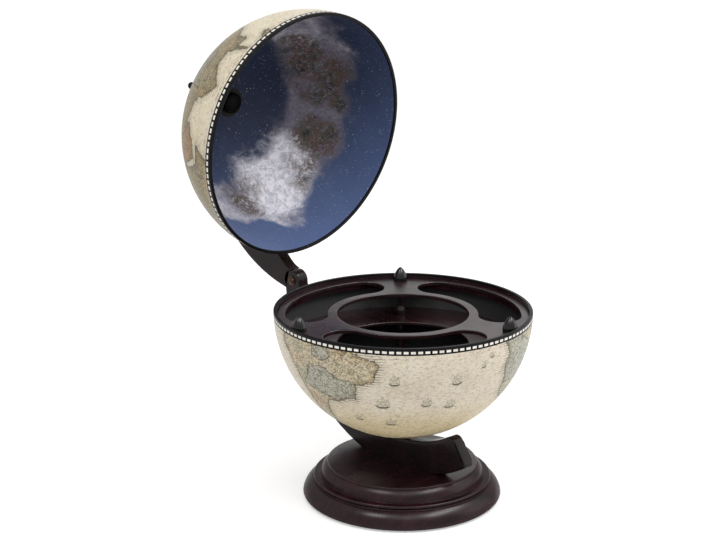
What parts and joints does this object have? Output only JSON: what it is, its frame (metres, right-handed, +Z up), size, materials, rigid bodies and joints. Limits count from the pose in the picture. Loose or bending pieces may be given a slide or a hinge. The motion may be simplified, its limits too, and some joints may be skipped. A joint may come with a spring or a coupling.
{
  "type": "globe bar",
  "caption": "Tabletop globe bar: a bowl with a bottle and glass rack and a lid on a hinged meridian arm, together a globe, on a turned base.",
  "frame": {"origin": "middle of the felt's underside, where the base rests on a table", "axes": "+Z up; +Y towards the lid's hinge at the back; -Y towards the arm's stub at the front"},
  "size_m": [0.33, 0.5899, 0.6146],
  "materials": {
    "dark_wood": "satin lacquer",
    "map_board": "varnished map print",
    "sky_board": "varnished map print outside, night sky print inside",
    "black_rim": "black lacquer",
    "peg_black": "gloss",
    "felt": "felt",
    "bronze": "antique bronze",
    "steel": "zinc plated"
  },
  "bodies": {
    "base": {"base_felt": "felt", "base_plinth": "dark_wood", "lower_arm": "dark_wood", "arm_screw_front": "steel", "arm_screw_back": "steel", "south_bolt": "steel", "south_collar": "bronze", "south_washer": "steel", "south_nut": "steel", "hinge_bolt": "bronze", "hinge_washer_left": "bronze", "hinge_washer_right": "bronze", "hinge_cap_nut": "bronze"},
    "bowl": {"bowl_shell": "map_board", "bowl_rim": "black_rim", "south_bush": "bronze", "tray": "dark_wood", "glass_shelf": "dark_wood", "bottle_floor": "dark_wood", "shelf_post_1": "dark_wood", "shelf_post_2": "dark_wood", "shelf_post_3": "dark_wood", "tray_post_1": "dark_wood", "tray_post_2": "dark_wood", "tray_post_3": "dark_wood", "lid_peg_1": "peg_black", "lid_peg_2": "peg_black", "lid_peg_3": "peg_black"},
    "upper_arm": {"upper_arm": "dark_wood", "north_bolt": "steel", "north_collar": "bronze", "north_cap": "dark_wood", "finial": "dark_wood"},
    "lid": {"lid_shell": "sky_board", "lid_rim": "black_rim", "north_bush": "bronze"}
  },
  "joints": [
    {"name": "bowl_spin", "type": "hinge", "parent": "base", "child": "bowl", "pos_m": [0, 0, 0.253], "axis": [0, 0, 1], "continuous": true},
    {"name": "lid_hinge", "type": "hinge", "parent": "base", "child": "upper_arm", "pos_m": [0, 0.203, 0.2485], "axis": [1, 0, 0], "range_deg": [0, 81.4]},
    {"name": "lid_spin", "type": "hinge", "parent": "upper_arm", "child": "lid", "pos_m": [0, 0.17788, 0.45001], "axis": [0, 0.9888, 0.1495], "continuous": true}
  ]
}
